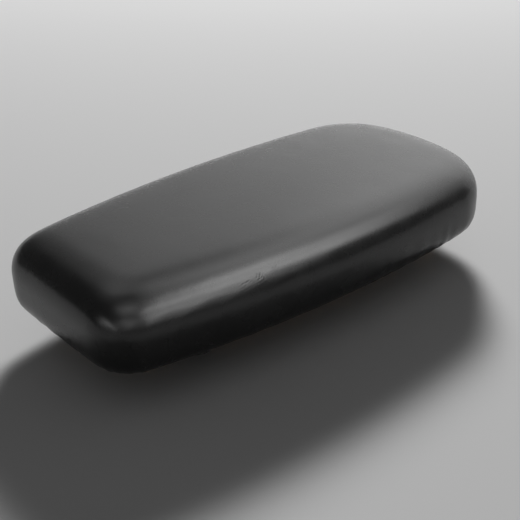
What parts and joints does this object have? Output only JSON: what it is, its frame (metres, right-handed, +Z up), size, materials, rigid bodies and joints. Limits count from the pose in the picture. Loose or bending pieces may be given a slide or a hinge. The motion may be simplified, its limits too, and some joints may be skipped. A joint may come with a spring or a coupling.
{
  "type": "bicycle rear seat cushion",
  "caption": "Padded rear-rack seat for a bicycle: black leather cover over foam on a board, with two steel straps that clamp it to the rack's rails.",
  "frame": {"origin": "middle of the cushion's underside, in the plane of the hem that rests on the rack", "axes": "+X to the bicycle's rear along the cushion, +Y to its right, +Z up out of the seat"},
  "size_m": [0.34, 0.177, 0.0757],
  "materials": {
    "cover_leather": "satin black PU leather, smooth with a very fine grain",
    "seat_foam": "open-cell upholstery foam",
    "plywood": "bare birch plywood",
    "staple_wire": "galvanised wire",
    "plated_steel": "zinc plated",
    "strap_steel": "black powder coat"
  },
  "bodies": {
    "root": {"cover": "cover_leather", "foam_pad": "seat_foam", "base_board": "plywood", "hem_staples": "staple_wire", "tee_nuts": "plated_steel", "front_clamp_strap": "strap_steel", "rear_clamp_strap": "strap_steel", "clamp_bolts": "plated_steel", "flat_washers": "plated_steel", "spring_washers": "plated_steel"}
  },
  "joints": []
}
